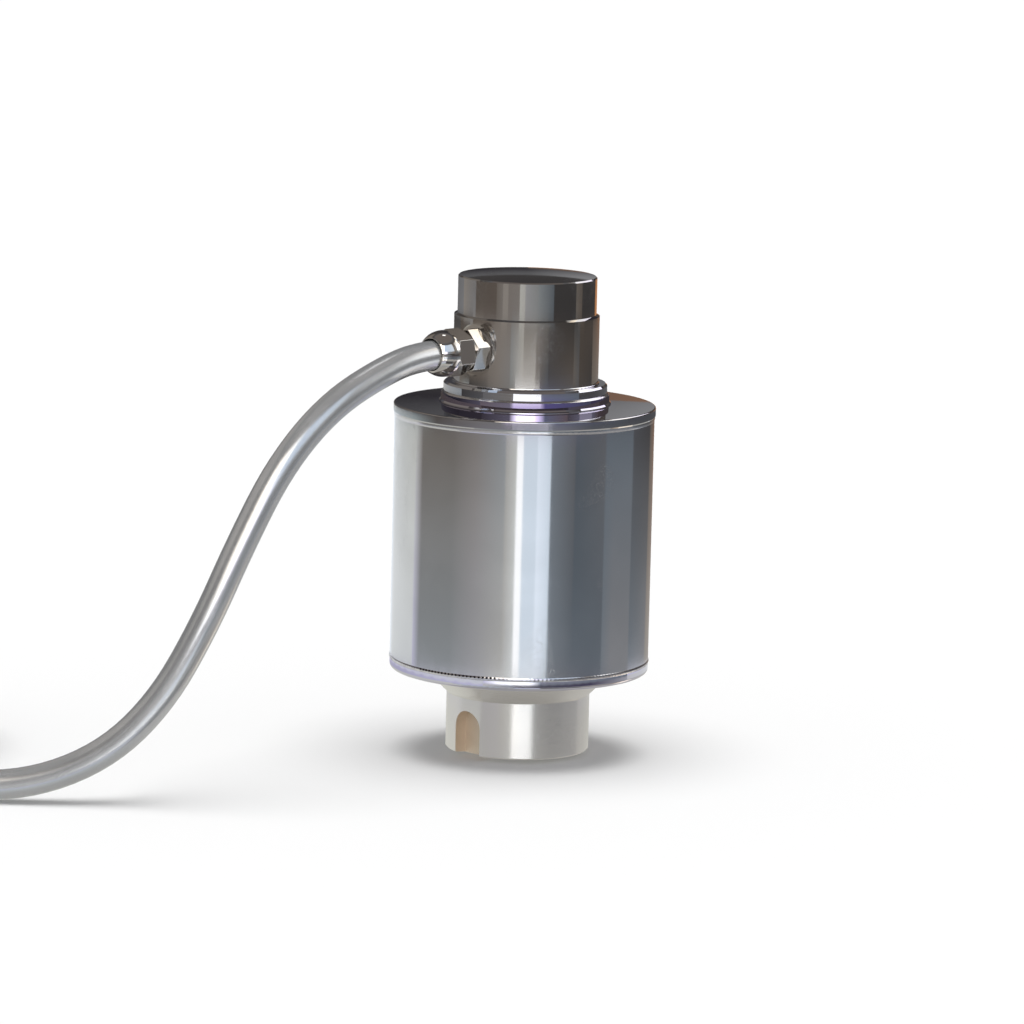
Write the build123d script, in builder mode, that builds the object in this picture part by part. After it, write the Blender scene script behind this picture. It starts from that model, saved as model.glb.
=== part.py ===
"""Compression load cell of the rocker column type, in millimetres.

The load column stands on its spherical foot, with +Z up and the pole of the foot at the origin.
A welded housing encloses its gauged waist, and the cable leaves the neck through a gland.
"""
from build123d import *
import os
from math import cos, degrees, hypot, pi, radians, sin, sqrt, tan

os.makedirs("parts", exist_ok=True)

# Overall
total_height = 150.0
load_face_radius = 180.0  # both ends are parts of spheres, so that the cell rocks upright
cable_side = 225.0  # direction in plan of the gland and of the foot slot, in degrees from +X
slip = 0.05  # radial clearance of parts that slide together
edge_break = 0.4

# Load column: heights of the foot's end above the floor, drops of the head's end below the top
foot_d = 44.4
cone_start_z = 18.8
flange_d = 56.0
lower_boss_top_z = 34.0
waist_d = 38.0
waist_fillet = 4.0
waist_top_drop = 57.0
collar_d = 50.5
collar_top_drop = 34.1
collar_edge = 0.6
neck_d = 44.8
neck_root_fillet = 0.6
head_d = 42.8
head_length = 13.3
head_step = 0.5  # height of the bevel between neck and head

# Slot in the foot for the pin that stops rotation
slot_width = 10.6
slot_height = 15.0
slot_floor = 17.3  # distance from the axis

# Flats on the waist for the gauges
flat_depth = 1.5
flat_margin = 3.0  # from a flat's end to the waist's end

# Housing
sleeve_d = 80.2
sleeve_wall = 2.5
lower_seam_z = 29.7
upper_seam_drop = 44.6
register_depth = 1.5  # how far a cover reaches into the sleeve
cover_height = 3.6  # of each cover's edge, from its seam to its flat face
groove_proud = 0.15  # how far the top cover stands out from the sleeve at its seam
rim_proud = 0.2  # and its rim from there
rim_bevel_height = 0.4
rim_round = 0.5
hub_wall = 0.75
cover_rise = 0.6  # of the top face, from the rim to the hub
hub_height = 3.5  # this and the next are above the rim
hub_foot_height = 1.4
hub_foot_step = 0.5
bottom_round = 1.3

# Weld seams
seam_bevel = 0.6
seam_crown = 0.12
hub_weld = 0.6
flange_weld = 1.2
weld_gap = 0.01  # between a corner bead and the column

# Compensation board under the top cover
board_inner_gap = 2.0  # from the waist, for the bridge wires
board_outer_gap = 2.75  # from the sleeve
board_thickness = 1.6
board_drop = 62.0
spacer_flats = 5.0
spacer_stud_d = 2.5
spacer_stud_length = 2.0
screw_d = 2.1
screw_reach = 5.0
screw_head_d = 4.6
screw_head_height = 1.8
spacer_count = 3
resistor_d = 2.2
resistor_length = 6.0
resistor_lead_d = 0.6
resistor_lead_room = 1.4
resistor_angles = (30, 120, 240, 330)  # from the cable side

# Gauges, terminals and bridge wires on the waist
gauge_length = 10.0
gauge_width = 6.0
gauge_film = 0.15
gauge_grid_height = 0.1
terminal_length = 8.0
terminal_width = 4.0
terminal_height = 0.5
terminal_drop = 12.0  # from the gauge's centre down to the terminal's
land_d = 1.6
land_height = 0.3
bridge_wire_d = 0.8

# Gland, measured outwards from the column's axis
gland_drop = 22.8
spot_face_depth = 0.8
spot_face_d = 16.0
port_d = 10.0
port_depth = 12.6  # from the spot face
spigot_length = 7.6
washer_d = 13.4
washer_thickness = 0.8
gland_corner_d = 14.4  # across the corners of the body's hexagon
gland_hex_length = 5.0
gland_turn = 43.5  # turn of the body's hexagon about its own axis, in degrees
nose_d = 11.2
nose_length = 6.3
gland_bore_d = 6.2
nut_gap = 0.8
nut_corner_d = 14.7
nut_turn = 7.0
nut_hex_length = 6.4
nut_chamfer = 0.9
dome_d = 14.2
dome_length = 6.2
nut_mouth_d = 11.0
nut_mouth_bore = 10.0
seal_d = 10.9
seal_length = 3.0
seal_gap = 0.2
passage_d = 5.4

# Cable
cable_d = 9.0
core_d = 1.1
core_pitch = 1.25
core_count = 4
core_bend_room = 2.0  # from the port's floor
core_exit_room = 2.8  # from the board's inner edge
core_exit_rise = 1.3
cable_points = [
    (-21.567, -21.567, 127.2),
    (-31.113, -31.113, 127.2),
    (-41.366, -41.366, 124.5),
    (-57.983, -57.983, 115.1),
    (-72.0, -70.5, 98.5),
    (-83.0, -79.0, 76.0),
    (-93.0, -86.0, 52.5),
    (-105.0, -91.0, 30.5),
    (-121.0, -94.0, 14.5),
    (-143.0, -95.5, 5.4),
    (-167.0, -95.0, 4.6),
    (-190.0, -95.0, 6.1),
]

# Stored coil: turns lie side by side and in layers, one pitch apart
coil_x = -242.0
coil_mean_r = 62.6
coil_pitch = 9.15
coil_columns = 3
coil_layers = 4
coil_rest_z = 1.6  # the ties pass below the turns
tail_start = 30.0  # plan angle where the last turn climbs on top, in degrees
tail_sweep = 90.0
tie_angles = (45, 150, 232)
tie_width = 4.8
tie_thickness = 1.3
tie_gap = 0.2
tie_head = (7.0, 8.0, 4.0)

# Prepared end of the cable
sleeve_end_d = 10.4
sleeve_end_length = 22.0
bare_core_length = 24.0
core_fan = 2.6
ferrule_d = 1.5
ferrule_length = 7.0


def dome_rise(radius):
    """Height of the spherical face above its pole's plane at this radius."""
    return load_face_radius - sqrt(load_face_radius**2 - radius**2)


def radial_plane(angle, distance):
    """Plane that faces outwards, with its local y along +Z."""
    c, s = cos(radians(angle)), sin(radians(angle))
    return Plane(origin=(distance * c, distance * s, 0), x_dir=(-s, c, 0), z_dir=(c, s, 0))


def section_plane(angle, shift=0.0):
    """Plane through the column's axis, with local x outwards and local y along +Z."""
    c, s = cos(radians(angle)), sin(radians(angle))
    return Plane(origin=(-shift * s, shift * c, 0), x_dir=(c, s, 0), z_dir=(s, -c, 0))


def at_angle(angle, radius, z=0.0):
    return Vector(radius * cos(radians(angle)), radius * sin(radians(angle)), z)


def smooth_path(points):
    """Straight runs joined by tangent arcs as large as the runs allow, with the arcs' radii."""
    radii = []
    for before, here, after in zip(points, points[1:], points[2:]):
        run_in = Vector(*here) - Vector(*before)
        run_out = Vector(*after) - Vector(*here)
        half_turn = radians(run_in.get_angle(run_out) / 2)
        radii.append(0.45 * min(run_in.length, run_out.length) / tan(half_turn))
    return FilletPolyline(*points, radius=radii), radii


# Radii and heights that the sizes above give
collar_top_z = total_height - collar_top_drop
waist_top_z = total_height - waist_top_drop
upper_seam_z = total_height - upper_seam_drop
board_bottom_z = total_height - board_drop
gland_z = total_height - gland_drop
foot_r = foot_d / 2
flange_r = flange_d / 2
waist_r = waist_d / 2
collar_r = collar_d / 2
neck_r = neck_d / 2
head_r = head_d / 2
sleeve_r = sleeve_d / 2
sleeve_inner_r = sleeve_r - sleeve_wall
register_r = sleeve_inner_r - slip
flange_corner_z = cone_start_z + flange_r - foot_r
foot_face_r = foot_r - edge_break
head_face_r = head_r - edge_break
foot_edge_z = dome_rise(foot_face_r)
head_edge_z = total_height - dome_rise(head_face_r)
neck_top_z = total_height - head_length
waist_bottom_z = lower_boss_top_z + flange_r - waist_r
flat_distance = waist_r - flat_depth
gauge_z = (waist_bottom_z + waist_top_z) / 2
cover_underside_z = upper_seam_z - register_depth
board_top_z = board_bottom_z + board_thickness
spot_face = neck_r - spot_face_depth
port_floor = spot_face - port_depth
spigot_end = spot_face - spigot_length
hex_start = spot_face + washer_thickness
hex_end = hex_start + gland_hex_length
nose_end = hex_end + nose_length
nut_start = hex_end + nut_gap
nut_hex_end = nut_start + nut_hex_length
nut_end = nut_hex_end + dome_length
jacket_start = hypot(cable_points[0][0], cable_points[0][1])
board_inner_r = waist_r + board_inner_gap
board_outer_r = sleeve_inner_r - board_outer_gap
spacer_circle = (collar_r + sleeve_inner_r) / 2
core_bend = (port_floor + core_bend_room, gland_z)
core_exit = (board_inner_r + core_exit_room, board_top_z + core_exit_rise)
core_landing = (spacer_circle, board_top_z + core_d / 2 + slip)
gland_axis = Axis((0, 0, gland_z), at_angle(cable_side, 1))

# Load column
with BuildPart() as load_column:
    with BuildSketch(Plane.XZ) as column_profile:
        with BuildLine():
            foot_arc = ThreePointArc(
                (0, 0), (foot_face_r / 2, dome_rise(foot_face_r / 2)), (foot_face_r, foot_edge_z)
            )
            outline = Polyline(
                foot_arc @ 1,
                (foot_r, foot_edge_z + edge_break),
                (foot_r, cone_start_z),
                (flange_r, flange_corner_z),
                (flange_r, lower_boss_top_z),
                (waist_r, waist_bottom_z),
                (waist_r, waist_top_z),
                (collar_r, waist_top_z + collar_r - waist_r),
                (collar_r, collar_top_z - collar_edge),
                (collar_r - collar_edge, collar_top_z),
                (neck_r, collar_top_z),
                (neck_r, neck_top_z),
                (head_r, neck_top_z + head_step),
                (head_r, head_edge_z - edge_break),
                (head_face_r, head_edge_z),
            )
            ThreePointArc(
                outline @ 1,
                (head_face_r / 2, total_height - dome_rise(head_face_r / 2)),
                (0, total_height),
            )
            Line((0, total_height), (0, 0))
        make_face()
        waist_ends = column_profile.vertices().filter_by(lambda v: abs(v.X - waist_r) < 0.01)
        fillet(waist_ends, waist_fillet)
        neck_root = column_profile.vertices().filter_by(
            lambda v: abs(v.X - neck_r) < 0.01 and abs(v.Y - collar_top_z) < 0.01
        )
        fillet(neck_root, neck_root_fillet)
    revolve(axis=Axis.Z)

    with Locations((0, 0, gauge_z)):
        with PolarLocations(waist_r, 4, start_angle=cable_side + 45):
            Box(
                2 * flat_depth,
                waist_d,
                waist_top_z - waist_bottom_z - 2 * flat_margin,
                mode=Mode.SUBTRACT,
            )

    with BuildSketch(radial_plane(cable_side, slot_floor)):
        with Locations((0, slot_height - slot_width / 2)):
            Circle(slot_width / 2)
            Rectangle(slot_width, slot_height, align=(Align.CENTER, Align.MAX))
    extrude(amount=foot_r, mode=Mode.SUBTRACT)

    with BuildSketch(radial_plane(cable_side, spot_face)):
        with Locations((0, gland_z)):
            Circle(spot_face_d / 2)
    extrude(amount=neck_r, mode=Mode.SUBTRACT)

    with BuildSketch(radial_plane(cable_side, port_floor)):
        with Locations((0, gland_z)):
            Circle(port_d / 2)
    extrude(amount=spot_face, mode=Mode.SUBTRACT)

    passage_start = at_angle(cable_side, *core_bend)
    passage_end = at_angle(cable_side, *core_exit)
    with BuildSketch(Plane(passage_start, z_dir=passage_end - passage_start)):
        Circle(passage_d / 2)
    extrude(amount=(passage_end - passage_start).length, mode=Mode.SUBTRACT)
load_column.part.label = "load_column"
export_step(load_column.part, "parts/load_column.step")

# Housing sleeve, bevelled at both ends for the seams
with BuildPart() as housing_sleeve:
    with BuildSketch(Plane.XY.offset(lower_seam_z)):
        Circle(sleeve_r)
        Circle(sleeve_inner_r, mode=Mode.SUBTRACT)
    extrude(amount=upper_seam_z - lower_seam_z)
    rims = housing_sleeve.edges().filter_by(GeomType.CIRCLE).filter_by(
        lambda e: abs(e.radius - sleeve_r) < 0.01
    )
    chamfer(rims, seam_bevel)
housing_sleeve.part.label = "housing_sleeve"
export_step(housing_sleeve.part, "parts/housing_sleeve.step")

# Top cover with its hub round the collar, and the holes for the board's spacers
groove_r = sleeve_r + groove_proud
rim_r = groove_r + rim_proud
rim_top_z = upper_seam_z + cover_height
hub_r = collar_r + hub_wall
hub_foot_r = hub_r + hub_foot_step
hub_top_z = rim_top_z + hub_height
hub_foot_z = rim_top_z + hub_foot_height
hub_bore_r = collar_r + slip
with BuildPart() as top_cover:
    with BuildSketch(Plane.XZ):
        with BuildLine():
            rim_line = Polyline(
                (hub_bore_r, cover_underside_z),
                (register_r, cover_underside_z),
                (register_r, upper_seam_z),
                (sleeve_r - seam_bevel, upper_seam_z),
                (groove_r, upper_seam_z + seam_bevel),
                (rim_r, upper_seam_z + seam_bevel + rim_bevel_height),
                (rim_r, rim_top_z - rim_round),
            )
            rim_arc = JernArc(rim_line @ 1, (0, 1), rim_round, 90)
            Polyline(
                rim_arc @ 1,
                (hub_foot_r, rim_top_z + cover_rise),
                (hub_foot_r, hub_foot_z - hub_foot_step),
                (hub_r, hub_foot_z),
                (hub_r, hub_top_z),
                (hub_bore_r, hub_top_z),
                (hub_bore_r, cover_underside_z),
            )
        make_face()
    revolve(axis=Axis.Z)
    with BuildSketch(Plane.XY.offset(cover_underside_z)):
        with PolarLocations(spacer_circle, spacer_count, start_angle=cable_side + 60):
            Circle(spacer_stud_d / 2 + slip)
    extrude(amount=spacer_stud_length + edge_break, mode=Mode.SUBTRACT)
top_cover.part.label = "top_cover"
export_step(top_cover.part, "parts/top_cover.step")

# Bottom cover, rounded at its lower edge
bottom_face_z = lower_seam_z - cover_height
with BuildPart() as bottom_cover:
    with BuildSketch(Plane.XZ):
        with BuildLine():
            cover_line = Polyline(
                (sleeve_r - bottom_round, bottom_face_z),
                (flange_r + slip, bottom_face_z),
                (flange_r + slip, lower_seam_z + register_depth),
                (register_r, lower_seam_z + register_depth),
                (register_r, lower_seam_z),
                (sleeve_r - seam_bevel, lower_seam_z),
                (sleeve_r, lower_seam_z - seam_bevel),
                (sleeve_r, bottom_face_z + bottom_round),
            )
            JernArc(cover_line @ 1, (0, -1), bottom_round, -90)
        make_face()
    revolve(axis=Axis.Z)
bottom_cover.part.label = "bottom_cover"
export_step(bottom_cover.part, "parts/bottom_cover.step")


def seam_bead(z, cover_r, side, crown):
    """Ring of weld metal in the groove between the sleeve's end and a cover on this side of it."""
    with BuildPart() as bead:
        with BuildSketch(Plane.XZ):
            with BuildLine():
                groove = Polyline(
                    (cover_r, z + side * seam_bevel),
                    (sleeve_r - seam_bevel, z),
                    (sleeve_r, z - side * seam_bevel),
                )
                ThreePointArc(groove @ 1, ((cover_r + sleeve_r) / 2 + crown, z), groove @ 0)
            make_face()
        revolve(axis=Axis.Z)
    return bead


def fillet_bead(radius, z, leg, rise):
    """Ring of weld metal in an inside corner, as wide as it is high."""
    with BuildPart() as bead:
        with BuildSketch(Plane.XZ):
            with BuildLine():
                legs = Polyline((radius + leg, z), (radius, z), (radius, z + rise * leg))
                ThreePointArc(legs @ 0, (radius + 0.6 * leg, z + rise * 0.6 * leg), legs @ 1)
            make_face()
        revolve(axis=Axis.Z)
    return bead


# Weld seams
lower_seam = seam_bead(lower_seam_z, sleeve_r, -1, seam_crown)
lower_seam.part.label = "lower_seam_weld"
export_step(lower_seam.part, "parts/lower_seam_weld.step")

upper_seam = seam_bead(upper_seam_z, groove_r, 1, slip)
upper_seam.part.label = "upper_seam_weld"
export_step(upper_seam.part, "parts/upper_seam_weld.step")

collar_weld = fillet_bead(collar_r + weld_gap, hub_top_z, hub_weld, 1)
collar_weld.part.label = "collar_weld"
export_step(collar_weld.part, "parts/collar_weld.step")

flange_bead = fillet_bead(flange_r + weld_gap, bottom_face_z, flange_weld, -1)
flange_bead.part.label = "flange_weld"
export_step(flange_bead.part, "parts/flange_weld.step")

# Compensation board
with BuildPart() as compensation_board:
    with BuildSketch(Plane.XY.offset(board_bottom_z)):
        Circle(board_outer_r)
        Circle(board_inner_r, mode=Mode.SUBTRACT)
        with PolarLocations(spacer_circle, spacer_count, start_angle=cable_side + 60):
            Circle(screw_d / 2 + 4 * slip, mode=Mode.SUBTRACT)
    extrude(amount=board_thickness)
compensation_board.part.label = "compensation_board"
export_step(compensation_board.part, "parts/compensation_board.step")

# Spacers that hang the board from the top cover, and the screws below them
spacer_length = cover_underside_z - board_top_z
for number in range(spacer_count):
    spot = at_angle(cable_side + 60 + number * 360 / spacer_count, spacer_circle)

    with BuildPart() as board_spacer:
        with BuildSketch(Plane(spot + Vector(0, 0, board_top_z))):
            RegularPolygon(spacer_flats / 2, 6, major_radius=False)
        extrude(amount=spacer_length)
        with BuildSketch(Plane(spot + Vector(0, 0, cover_underside_z))):
            Circle(spacer_stud_d / 2)
        extrude(amount=spacer_stud_length)
        with BuildSketch(Plane(spot + Vector(0, 0, board_top_z))):
            Circle(screw_d / 2 + slip)
        extrude(amount=screw_reach + 1, mode=Mode.SUBTRACT)
    board_spacer.part.label = f"board_spacer_{number + 1}"
    export_step(board_spacer.part, f"parts/board_spacer_{number + 1}.step")

    with BuildPart() as board_screw:
        with BuildSketch(Plane(spot + Vector(0, 0, board_bottom_z - screw_head_height))):
            Circle(screw_head_d / 2)
        extrude(amount=screw_head_height)
        with BuildSketch(Plane(spot + Vector(0, 0, board_bottom_z))):
            Circle(screw_d / 2)
        extrude(amount=board_thickness + screw_reach)
        chamfer(board_screw.edges().filter_by(GeomType.CIRCLE).sort_by(Axis.Z)[0], edge_break)
    board_screw.part.label = f"board_screw_{number + 1}"
    export_step(board_screw.part, f"parts/board_screw_{number + 1}.step")

# Trimming resistors on the board, each on one wire bent down to the board at both ends
resistor_circle = (board_inner_r + board_outer_r) / 2
resistor_z = board_top_z + resistor_d / 2
lead_reach = resistor_length / 2 + resistor_lead_room
for number, turn in enumerate(resistor_angles, start=1):
    spot = at_angle(cable_side + turn, resistor_circle, resistor_z)
    along = at_angle(cable_side + turn + 90, 1)
    with BuildPart() as trim_resistor:
        with BuildSketch(Plane(spot - along * (resistor_length / 2), z_dir=along)):
            Circle(resistor_d / 2)
        extrude(amount=resistor_length)
        chamfer(trim_resistor.edges().filter_by(GeomType.CIRCLE), resistor_d / 6)
        with BuildLine(Plane(spot, x_dir=along, z_dir=at_angle(cable_side + turn, 1))) as lead_line:
            FilletPolyline(
                (-lead_reach, -resistor_d / 2),
                (-lead_reach, 0),
                (lead_reach, 0),
                (lead_reach, -resistor_d / 2),
                radius=resistor_lead_d,
            )
        with BuildSketch(Plane(lead_line.line @ 0, z_dir=lead_line.line % 0)):
            Circle(resistor_lead_d / 2)
        sweep()
    trim_resistor.part.label = f"trim_resistor_{number}"
    export_step(trim_resistor.part, f"parts/trim_resistor_{number}.step")

# Gauges, terminal strips and bridge wires, one of each on every flat
terminal_z = gauge_z - terminal_drop
land_front = flat_distance + terminal_height + land_height
wire_r = bridge_wire_d / 2
wire_run_r = (waist_r + board_inner_r) / 2
for number in range(1, 5):
    angle = cable_side + 45 + 90 * (number - 1)
    along_axis = number % 2 == 1

    with BuildPart() as strain_gauge:
        with BuildSketch(radial_plane(angle, flat_distance)):
            with Locations(Location((0, gauge_z), 90 if along_axis else 0)):
                RectangleRounded(gauge_length, gauge_width, 0.5)
        extrude(amount=gauge_film)
        with BuildSketch(radial_plane(angle, flat_distance + gauge_film)):
            with Locations(Location((0, gauge_z), 90 if along_axis else 0)):
                with GridLocations(0, 0.8, 1, 5):
                    Rectangle(0.6 * gauge_length, 0.4)
                for side in (-1, 1):
                    with Locations((side * 0.38 * gauge_length, 0)):
                        Rectangle(0.16 * gauge_length, 0.6 * gauge_width)
        extrude(amount=gauge_grid_height)
    strain_gauge.part.label = f"strain_gauge_{number}"
    export_step(strain_gauge.part, f"parts/strain_gauge_{number}.step")

    with BuildPart() as terminal_strip:
        with BuildSketch(radial_plane(angle, flat_distance)):
            with Locations((0, terminal_z)):
                Rectangle(terminal_length, terminal_width)
        extrude(amount=terminal_height)
        with BuildSketch(radial_plane(angle, flat_distance + terminal_height)):
            with Locations((0, terminal_z)):
                with GridLocations(terminal_length / 2, 0, 2, 1):
                    Circle(land_d / 2)
        extrude(amount=land_height)
    terminal_strip.part.label = f"terminal_strip_{number}"
    export_step(terminal_strip.part, f"parts/terminal_strip_{number}.step")

    wire_plane = section_plane(angle, shift=terminal_length / 4)
    with BuildPart() as bridge_wire:
        with BuildLine(wire_plane) as wire_line:
            FilletPolyline(
                (land_front + wire_r, terminal_z - land_d / 2),
                (land_front + wire_r, terminal_z + land_d),
                (wire_run_r, gauge_z - gauge_length / 4),
                (wire_run_r, board_top_z + 3 * wire_r),
                (wire_run_r + 3.0, board_top_z + wire_r),
                radius=(2.0, 2.0, 1.0),
            )
        with BuildSketch(Plane(wire_line.line @ 0, z_dir=wire_line.line % 0)):
            Circle(wire_r)
        sweep()
    bridge_wire.part.label = f"bridge_wire_{number}"
    export_step(bridge_wire.part, f"parts/bridge_wire_{number}.step")

# Gland body: threaded spigot, hexagon and threaded nose, bored for the cores and the sheath
gland_face = Plane(
    origin=(0, 0, gland_z), x_dir=(0, 0, 1), z_dir=at_angle(cable_side, 1)
)
gland_section = Plane(
    origin=(0, 0, gland_z), x_dir=at_angle(cable_side, 1), z_dir=at_angle(cable_side - 90, 1)
)
sheath_bore_r = cable_d / 2 + 3 * slip
with BuildPart() as gland_body:
    with BuildSketch(gland_section):
        with BuildLine():
            Polyline(
                (spigot_end, gland_bore_d / 2),
                (spigot_end, port_d / 2 - slip),
                (hex_start, port_d / 2 - slip),
                (hex_start, nose_d / 2),
                (nose_end, nose_d / 2),
                (nose_end, sheath_bore_r),
                (jacket_start - slip, sheath_bore_r),
                (jacket_start - slip, gland_bore_d / 2),
                close=True,
            )
        make_face()
    revolve(axis=gland_axis)
    with BuildSketch(gland_face.offset(hex_start)):
        RegularPolygon(gland_corner_d / 2, 6, rotation=gland_turn)
        Circle(gland_bore_d / 2, mode=Mode.SUBTRACT)
    extrude(amount=gland_hex_length)
gland_body.part.label = "gland_body"
export_step(gland_body.part, "parts/gland_body.step")

# Sealing washer between the gland body and the spot face
with BuildPart() as gland_washer:
    with BuildSketch(gland_face.offset(spot_face)):
        Circle(washer_d / 2)
        Circle(port_d / 2 + slip, mode=Mode.SUBTRACT)
    extrude(amount=washer_thickness)
gland_washer.part.label = "gland_washer"
export_step(gland_washer.part, "parts/gland_washer.step")

# Gland nut: hexagon with turned corners, then a dome that closes down to the sheath
thread_bore_r = nose_d / 2 + slip
seal_start = nose_end + seal_gap
nut_shoulder = nut_hex_end + dome_length / 2
with BuildPart() as gland_nut:
    with BuildSketch(gland_face.offset(nut_start)):
        RegularPolygon(nut_corner_d / 2, 6, rotation=nut_turn)
    extrude(amount=nut_hex_length)
    with BuildSketch(gland_section):
        with BuildLine():
            corner_line = Polyline(
                (nut_start, 0),
                (nut_start, nut_corner_d / 2 - nut_chamfer),
                (nut_start + nut_chamfer / 2, nut_corner_d / 2),
                (nut_hex_end - nut_chamfer / 2, nut_corner_d / 2),
                (nut_hex_end, nut_corner_d / 2 - nut_chamfer),
                (nut_hex_end, 0),
                close=True,
            )
        make_face()
    revolve(axis=gland_axis, mode=Mode.INTERSECT)
    with BuildSketch(gland_section):
        with BuildLine():
            Line((nut_hex_end, 0), (nut_hex_end, dome_d / 2 - edge_break))
            Line((nut_hex_end, dome_d / 2 - edge_break), (nut_hex_end + edge_break, dome_d / 2))
            dome_line = ThreePointArc(
                (nut_hex_end + edge_break, dome_d / 2),
                (nut_shoulder + dome_length / 6, (0.62 * dome_d + 0.38 * nut_mouth_d) / 2),
                (nut_end - edge_break, nut_mouth_d / 2),
            )
            Polyline(
                dome_line @ 1,
                (nut_end, nut_mouth_d / 2 - edge_break),
                (nut_end, 0),
                (nut_hex_end, 0),
            )
        make_face()
    revolve(axis=gland_axis)
    with BuildSketch(gland_section):
        with BuildLine():
            Polyline(
                (nut_start, 0),
                (nut_start, thread_bore_r),
                (nut_shoulder, thread_bore_r),
                (nut_shoulder + (thread_bore_r - nut_mouth_bore / 2), nut_mouth_bore / 2),
                (nut_end, nut_mouth_bore / 2),
                (nut_end, 0),
                close=True,
            )
        make_face()
    revolve(axis=gland_axis, mode=Mode.SUBTRACT)
gland_nut.part.label = "gland_nut"
export_step(gland_nut.part, "parts/gland_nut.step")

# Rubber seal squeezed between the nose and the dome
with BuildPart() as gland_seal:
    with BuildSketch(gland_face.offset(seal_start)):
        Circle(seal_d / 2)
        Circle(cable_d / 2 + slip, mode=Mode.SUBTRACT)
    extrude(amount=seal_length)
gland_seal.part.label = "gland_seal"
export_step(gland_seal.part, "parts/gland_seal.step")

# Cores from the sheath's end through the passage to the board
core_colours = ("red", "black", "green", "white")
for number, colour in enumerate(core_colours):
    shift = (number - (core_count - 1) / 2) * core_pitch
    with BuildPart() as inner_core:
        with BuildLine(section_plane(cable_side, shift)) as core_line:
            FilletPolyline(
                (jacket_start, gland_z), core_bend, core_exit, core_landing, radius=(3.0, 1.5)
            )
        with BuildSketch(Plane(core_line.line @ 0, z_dir=core_line.line % 0)):
            Circle(core_d / 2)
        sweep()
    inner_core.part.label = f"inner_core_{colour}"
    export_step(inner_core.part, f"parts/inner_core_{colour}.step")

# Cable, from inside the gland to the stored coil
with BuildPart() as cable:
    with BuildLine() as cable_line:
        cable_path, cable_radii = smooth_path(cable_points)
    with BuildSketch(Plane(cable_line.line @ 0, z_dir=cable_line.line % 0)):
        Circle(cable_d / 2)
    sweep()
cable.part.label = "cable"
export_step(cable.part, "parts/cable.step")
print("cable arc radii, mm:", [round(radius, 1) for radius in cable_radii])
tube_volume = pi * (cable_d / 2) ** 2 * cable_path.length
print(f"cable run {cable_path.length:.1f} mm, volume ratio {cable.part.volume / tube_volume:.4f}")

# Outer shape of the coil: a ring of turns, the stretch that runs into it and the end on its top
outer_turn_r = coil_mean_r + coil_pitch * (coil_columns - 1) / 2
coil_y = cable_points[-1][1] + outer_turn_r
coil_half_width = (coil_pitch * (coil_columns - 1) + cable_d) / 2
coil_height = coil_pitch * (coil_layers - 1) + cable_d
coil_top_z = coil_rest_z + coil_height
tail_z = coil_top_z + cable_d / 2
coil_axis = Axis((coil_x, coil_y, 0), (0, 0, 1))


def coil_section(angle):
    """Plane across the turns at this plan angle, with local x outwards from the coil's axis."""
    c, s = cos(radians(angle)), sin(radians(angle))
    return Plane(origin=(coil_x, coil_y, 0), x_dir=(c, s, 0), z_dir=(s, -c, 0))


with BuildPart() as cable_coil:
    with BuildSketch(coil_section(0)):
        with Locations((coil_mean_r, coil_rest_z + coil_height / 2)):
            RectangleRounded(2 * coil_half_width, coil_height, 0.49 * cable_d)
    revolve(axis=coil_axis)
    with BuildSketch(Plane(cable_points[-1], z_dir=cable_line.line % 1)):
        Circle(cable_d / 2)
    extrude(amount=cable_points[-1][0] - coil_x)
    with BuildSketch(coil_section(tail_start)):
        with Locations((coil_mean_r, tail_z)):
            Circle(cable_d / 2)
            Rectangle(cable_d / 3, cable_d / 2 + 1, align=(Align.CENTER, Align.MAX))
    revolve(axis=coil_axis, revolution_arc=-tail_sweep)
cable_coil.part.label = "cable_coil"
export_step(cable_coil.part, "parts/cable_coil.step")

# Ties round the coil, each a closed band with its head outside
tie_inner = (2 * (coil_half_width + tie_gap), coil_height + 2 * tie_gap)
for number, angle in enumerate(tie_angles, start=1):
    plane = coil_section(angle)
    with BuildPart() as cable_tie:
        with BuildSketch(plane.offset(-tie_width / 2)):
            with Locations((coil_mean_r, coil_rest_z + coil_height / 2)):
                RectangleRounded(
                    tie_inner[0] + 2 * tie_thickness, tie_inner[1] + 2 * tie_thickness, 5.6
                )
                RectangleRounded(tie_inner[0], tie_inner[1], 4.3, mode=Mode.SUBTRACT)
        extrude(amount=tie_width)
        outer_face = coil_mean_r + tie_inner[0] / 2 + tie_thickness
        head_spot = (outer_face + tie_head[2] / 2 - slip, coil_rest_z + coil_height / 2)
        with BuildSketch(plane.offset(-tie_head[0] / 2)):
            with Locations(head_spot):
                RectangleRounded(tie_head[2], tie_head[1], 0.8)
        extrude(amount=tie_head[0])
    cable_tie.part.label = f"cable_tie_{number}"
    export_step(cable_tie.part, f"parts/cable_tie_{number}.step")

# End sleeve that follows the turn below it
sleeve_start = tail_start - tail_sweep
sleeve_turn = degrees(sleeve_end_length / coil_mean_r)
sleeve_z = coil_top_z + sleeve_end_d / 2
with BuildPart() as end_sleeve:
    with BuildSketch(coil_section(sleeve_start)):
        with Locations((coil_mean_r, sleeve_z)):
            Circle(sleeve_end_d / 2)
    revolve(axis=coil_axis, revolution_arc=-sleeve_turn)
end_sleeve.part.label = "end_sleeve"
export_step(end_sleeve.part, "parts/end_sleeve.step")


def on_coil(radius, travel, z):
    """Point beyond the end sleeve, this far along the mean turn."""
    angle = radians(sleeve_start - sleeve_turn - degrees(travel / coil_mean_r))
    return Vector(coil_x + radius * cos(angle), coil_y + radius * sin(angle), z)


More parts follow.
